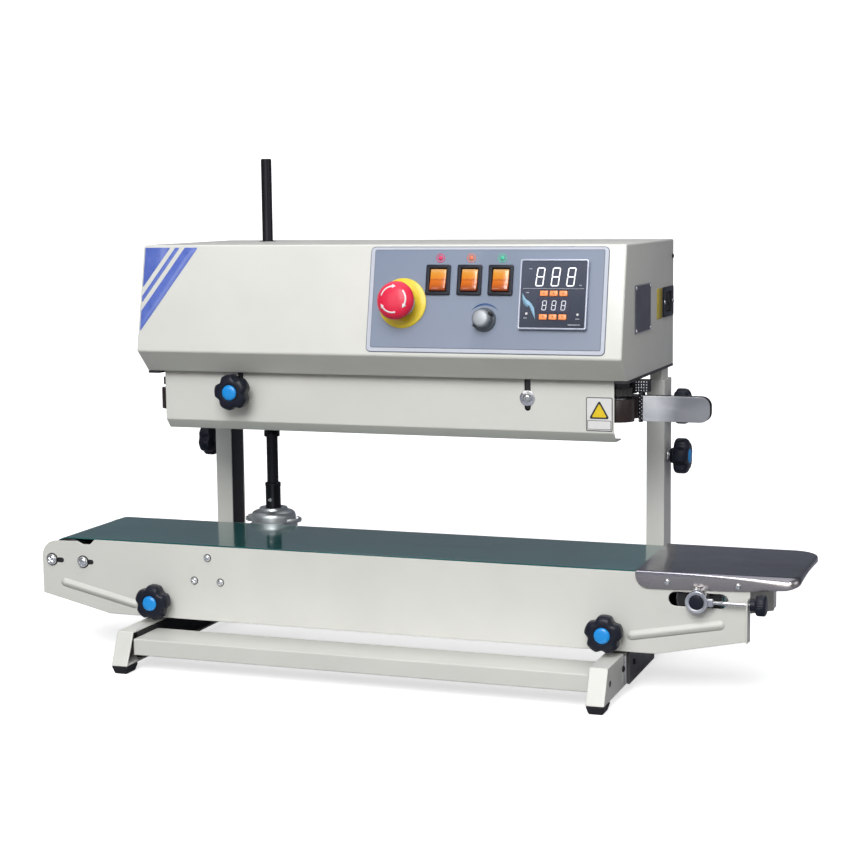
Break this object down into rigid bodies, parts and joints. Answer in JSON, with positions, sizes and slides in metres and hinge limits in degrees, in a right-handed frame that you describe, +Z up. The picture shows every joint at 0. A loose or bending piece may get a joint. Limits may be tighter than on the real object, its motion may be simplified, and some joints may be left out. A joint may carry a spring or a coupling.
{
  "type": "continuous band sealer",
  "caption": "Bench-top continuous band sealer: belt conveyor between side plates, sealing head with control panel on two telescopic columns, channel base frame.",
  "frame": {"origin": "on the floor plane, at the middle of the machine's footprint (middle of the bounding box from above)", "axes": "+Z up; +X towards the infeed tray, along the belt; -Y towards the operator and the control panel"},
  "size_m": [0.8544, 0.375, 0.555],
  "materials": {
    "beige_enamel": "semi-gloss beige powder coat",
    "black_paint": "satin black paint",
    "rubber_feet": "matt moulded rubber",
    "belt_green": "glossy green belting",
    "stainless": "fine brushed",
    "machined_steel": "turned, oiled",
    "dark_steel": "blackened steel",
    "cast_alloy": "cast, machined faces",
    "brass": "machined",
    "ptfe_band": "brown coated glass-cloth band",
    "black_plastic": "fine moulded grain",
    "red_plastic": "gloss",
    "orange_plastic": "translucent, lit",
    "silver_plastic": "satin silver",
    "controller_face": "gloss dark face with a silver border"
  },
  "bodies": {
    "base": {"base_rail_left": "beige_enamel", "base_rail_right": "beige_enamel", "base_crossbar": "beige_enamel", "foot_front_left": "rubber_feet", "foot_front_right": "rubber_feet", "foot_rear_left": "rubber_feet", "foot_rear_right": "rubber_feet", "column_left": "beige_enamel", "column_right": "beige_enamel", "conveyor_bracket_left": "black_paint", "conveyor_bracket_right": "black_paint"},
    "conveyor": {"conveyor_plate_front": "beige_enamel", "conveyor_plate_rear": "beige_enamel", "conveyor_bed": "machined_steel", "conveyor_belt": "belt_green", "infeed_tray": "stainless", "gearbox_housing": "cast_alloy"},
    "head": {"slide_post_left": "beige_enamel", "slide_post_right": "beige_enamel", "head_cover": "beige_enamel", "head_base_plate": "black_paint", "temp_controller": "controller_face", "power_inlet": "black_plastic", "drive_motor": "dark_steel", "seal_band_front": "ptfe_band", "seal_band_rear": "ptfe_band", "heater_block_front": "brass", "heater_block_rear": "brass", "infeed_guide": "stainless"},
    "drive_roller": {"roller_drive": "machined_steel"},
    "outfeed_roller": {"roller_outfeed": "machined_steel"},
    "tension_block": {"tension_carrier": "cast_alloy"},
    "infeed_roller": {"roller_infeed": "machined_steel"},
    "tension_knob": {"tension_screw": "black_plastic"},
    "shaft": {"drive_shaft": "dark_steel"},
    "hub": {"drive_hub": "dark_steel"},
    "wheel_front_outfeed": {"band_wheel_front_outfeed": "machined_steel"},
    "wheel_rear_outfeed": {"band_wheel_rear_outfeed": "machined_steel"},
    "wheel_front_infeed": {"band_wheel_front_infeed": "machined_steel"},
    "wheel_rear_infeed": {"band_wheel_rear_infeed": "machined_steel"},
    "knob_conveyor_left": {"conveyor_knob_left": "black_plastic"},
    "knob_column_left_lower": {"column_knob_left_lower": "black_plastic"},
    "knob_column_left_upper": {"column_knob_left_upper": "black_plastic"},
    "knob_conveyor_right": {"conveyor_knob_right": "black_plastic"},
    "knob_column_right_lower": {"column_knob_right_lower": "black_plastic"},
    "knob_column_right_upper": {"column_knob_right_upper": "black_plastic"},
    "guard": {"front_guard": "beige_enamel"},
    "knob_guard": {"guard_knob": "black_plastic"},
    "estop_plunger": {"estop_stem": "black_plastic"},
    "estop_head": {"estop_button": "red_plastic"},
    "switch_1": {"rocker_1": "orange_plastic"},
    "switch_2": {"rocker_2": "orange_plastic"},
    "switch_3": {"rocker_3": "orange_plastic"},
    "speed_dial": {"speed_knob": "silver_plastic"},
    "key_1": {"temp_key_1": "orange_plastic"},
    "key_2": {"temp_key_2": "orange_plastic"},
    "key_3": {"temp_key_3": "orange_plastic"},
    "key_4": {"temp_key_4": "orange_plastic"},
    "key_5": {"temp_key_5": "orange_plastic"},
    "key_6": {"temp_key_6": "orange_plastic"}
  },
  "joints": [
    {"name": "conveyor_lift", "type": "slide", "parent": "base", "child": "conveyor", "axis": [0, 0, 1], "range_m": [0, 0.03]},
    {"name": "head_lift", "type": "slide", "parent": "base", "child": "head", "axis": [0, 0, 1], "range_m": [0, 0.1]},
    {"name": "drive_roller_spin", "type": "hinge", "parent": "conveyor", "child": "drive_roller", "pos_m": [-0.21765, -0.0359, 0.1], "axis": [0, 1, 0], "continuous": true},
    {"name": "outfeed_roller_spin", "type": "hinge", "parent": "conveyor", "child": "outfeed_roller", "pos_m": [-0.39465, -0.0359, 0.1052], "axis": [0, 1, 0], "continuous": true},
    {"name": "belt_tension", "type": "slide", "parent": "conveyor", "child": "tension_block", "axis": [1, 0, 0], "range_m": [-0.005, 0]},
    {"name": "infeed_roller_spin", "type": "hinge", "parent": "tension_block", "child": "infeed_roller", "pos_m": [0.32665, -0.0359, 0.1052], "axis": [0, 1, 0], "continuous": true},
    {"name": "tension_screw_turn", "type": "hinge", "parent": "conveyor", "child": "tension_knob", "pos_m": [0.34365, -0.1169, 0.1052], "axis": [1, 0, 0], "range_deg": [-1440, 0]},
    {"name": "shaft_spin", "type": "hinge", "parent": "conveyor", "child": "shaft", "pos_m": [-0.21765, 0.0641, 0.2], "axis": [0, 0, 1], "continuous": true},
    {"name": "hub_spin", "type": "hinge", "parent": "head", "child": "hub", "pos_m": [-0.21765, 0.0641, 0.28], "axis": [0, 0, 1], "continuous": true},
    {"name": "band_wheel_front_outfeed_spin", "type": "hinge", "parent": "head", "child": "wheel_front_outfeed", "pos_m": [-0.27865, -0.0538, 0.288], "axis": [0, 0, 1], "continuous": true},
    {"name": "band_wheel_rear_outfeed_spin", "type": "hinge", "parent": "head", "child": "wheel_rear_outfeed", "pos_m": [-0.27865, -0.018, 0.288], "axis": [0, 0, 1], "continuous": true},
    {"name": "band_wheel_front_infeed_spin", "type": "hinge", "parent": "head", "child": "wheel_front_infeed", "pos_m": [0.22935, -0.0538, 0.288], "axis": [0, 0, 1], "continuous": true},
    {"name": "band_wheel_rear_infeed_spin", "type": "hinge", "parent": "head", "child": "wheel_rear_infeed", "pos_m": [0.22935, -0.018, 0.288], "axis": [0, 0, 1], "continuous": true},
    {"name": "conveyor_knob_left_turn", "type": "hinge", "parent": "conveyor", "child": "knob_conveyor_left", "pos_m": [-0.27895, -0.1099, 0.0675], "axis": [0, -1, 0], "continuous": true},
    {"name": "column_knob_left_lower_turn", "type": "hinge", "parent": "base", "child": "knob_column_left_lower", "pos_m": [-0.29865, 0.09685, 0.221], "axis": [-1, 0, 0], "continuous": true},
    {"name": "column_knob_left_upper_turn", "type": "hinge", "parent": "base", "child": "knob_column_left_upper", "pos_m": [-0.29865, 0.09685, 0.2765], "axis": [-1, 0, 0], "continuous": true},
    {"name": "conveyor_knob_right_turn", "type": "hinge", "parent": "conveyor", "child": "knob_conveyor_right", "pos_m": [0.23335, -0.1099, 0.0675], "axis": [0, -1, 0], "continuous": true},
    {"name": "column_knob_right_lower_turn", "type": "hinge", "parent": "base", "child": "knob_column_right_lower", "pos_m": [0.24935, 0.09685, 0.221], "axis": [1, 0, 0], "continuous": true},
    {"name": "column_knob_right_upper_turn", "type": "hinge", "parent": "base", "child": "knob_column_right_upper", "pos_m": [0.24935, 0.09685, 0.2765], "axis": [1, 0, 0], "continuous": true},
    {"name": "guard_slide", "type": "slide", "parent": "head", "child": "guard", "axis": [0, 0, 1], "range_m": [0, 0.009]},
    {"name": "guard_knob_turn", "type": "hinge", "parent": "head", "child": "knob_guard", "pos_m": [-0.18885, -0.0779, 0.3005], "axis": [0, -1, 0], "continuous": true},
    {"name": "estop_push", "type": "slide", "parent": "head", "child": "estop_plunger", "axis": [0, 0.9801, -0.1986], "range_m": [0, 0.004]},
    {"name": "estop_twist", "type": "hinge", "parent": "estop_plunger", "child": "estop_head", "pos_m": [0.01165, -0.10173, 0.39894], "axis": [0, -0.9801, 0.1986], "range_deg": [-45, 0]},
    {"name": "rocker_1_tilt", "type": "hinge", "parent": "head", "child": "switch_1", "pos_m": [0.04995, -0.09685, 0.42305], "axis": [1, 0, 0], "range_deg": [0, 14]},
    {"name": "rocker_2_tilt", "type": "hinge", "parent": "head", "child": "switch_2", "pos_m": [0.08415, -0.09685, 0.42305], "axis": [1, 0, 0], "range_deg": [0, 14]},
    {"name": "rocker_3_tilt", "type": "hinge", "parent": "head", "child": "switch_3", "pos_m": [0.11785, -0.09685, 0.42305], "axis": [1, 0, 0], "range_deg": [0, 14]},
    {"name": "speed_knob_turn", "type": "hinge", "parent": "head", "child": "speed_dial", "pos_m": [0.10235, -0.10499, 0.38286], "axis": [0, -0.9801, 0.1986], "range_deg": [-150, 150]},
    {"name": "temp_key_1_press", "type": "slide", "parent": "head", "child": "key_1", "axis": [0, 0.9801, -0.1986], "range_m": [0, 0.0008]},
    {"name": "temp_key_2_press", "type": "slide", "parent": "head", "child": "key_2", "axis": [0, 0.9801, -0.1986], "range_m": [0, 0.0008]},
    {"name": "temp_key_3_press", "type": "slide", "parent": "head", "child": "key_3", "axis": [0, 0.9801, -0.1986], "range_m": [0, 0.0008]},
    {"name": "temp_key_4_press", "type": "slide", "parent": "head", "child": "key_4", "axis": [0, 0.9801, -0.1986], "range_m": [0, 0.0008]},
    {"name": "temp_key_5_press", "type": "slide", "parent": "head", "child": "key_5", "axis": [0, 0.9801, -0.1986], "range_m": [0, 0.0008]},
    {"name": "temp_key_6_press", "type": "slide", "parent": "head", "child": "key_6", "axis": [0, 0.9801, -0.1986], "range_m": [0, 0.0008]}
  ],
  "couplings": [
    {"joint": "outfeed_roller_spin", "follows": "drive_roller_spin", "ratio": 1},
    {"joint": "infeed_roller_spin", "follows": "drive_roller_spin", "ratio": 1},
    {"joint": "shaft_spin", "follows": "drive_roller_spin", "ratio": 1},
    {"joint": "hub_spin", "follows": "drive_roller_spin", "ratio": 1},
    {"joint": "band_wheel_front_outfeed_spin", "follows": "drive_roller_spin", "ratio": -1.4593},
    {"joint": "band_wheel_front_infeed_spin", "follows": "drive_roller_spin", "ratio": -1.4593},
    {"joint": "band_wheel_rear_outfeed_spin", "follows": "drive_roller_spin", "ratio": 1.4593},
    {"joint": "band_wheel_rear_infeed_spin", "follows": "drive_roller_spin", "ratio": 1.4593},
    {"joint": "tension_screw_turn", "follows": "belt_tension", "rad_per_m": 5026.5}
  ]
}
